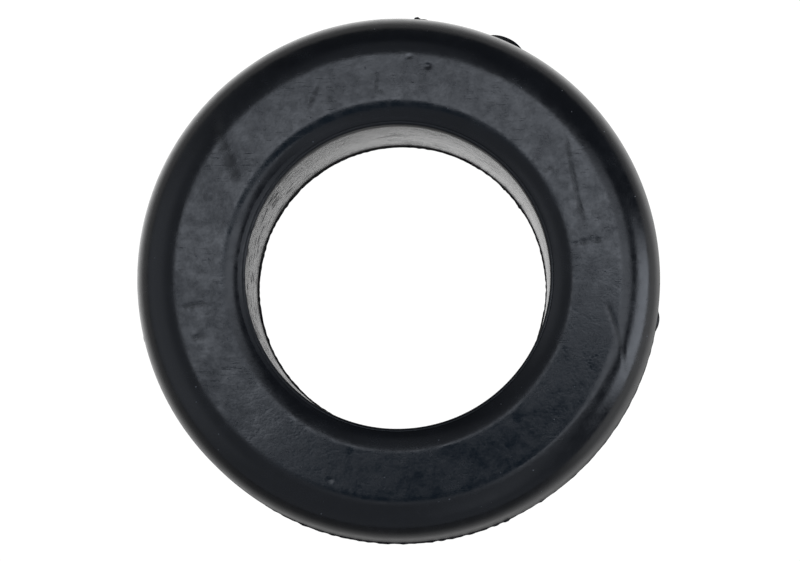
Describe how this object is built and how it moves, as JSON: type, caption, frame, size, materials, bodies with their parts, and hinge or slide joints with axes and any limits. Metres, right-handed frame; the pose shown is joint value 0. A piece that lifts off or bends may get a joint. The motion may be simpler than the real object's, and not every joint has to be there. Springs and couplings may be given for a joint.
{
  "type": "ring insulator",
  "caption": "Thick moulded rubber ring with flat faces, rounded shoulders and a plain bore, which keeps a live fence wire off its post.",
  "frame": {"origin": "centre of the flat face that the ring lies on", "axes": "+Z along the axis of the ring, from the face it lies on towards the other flat face"},
  "size_m": [0.0604, 0.0604, 0.024],
  "materials": {
    "black_rubber": "smooth moulded black rubber, satin, with light bloom and handling marks"
  },
  "bodies": {
    "root": {"rubber_ring": "black_rubber"}
  },
  "joints": []
}
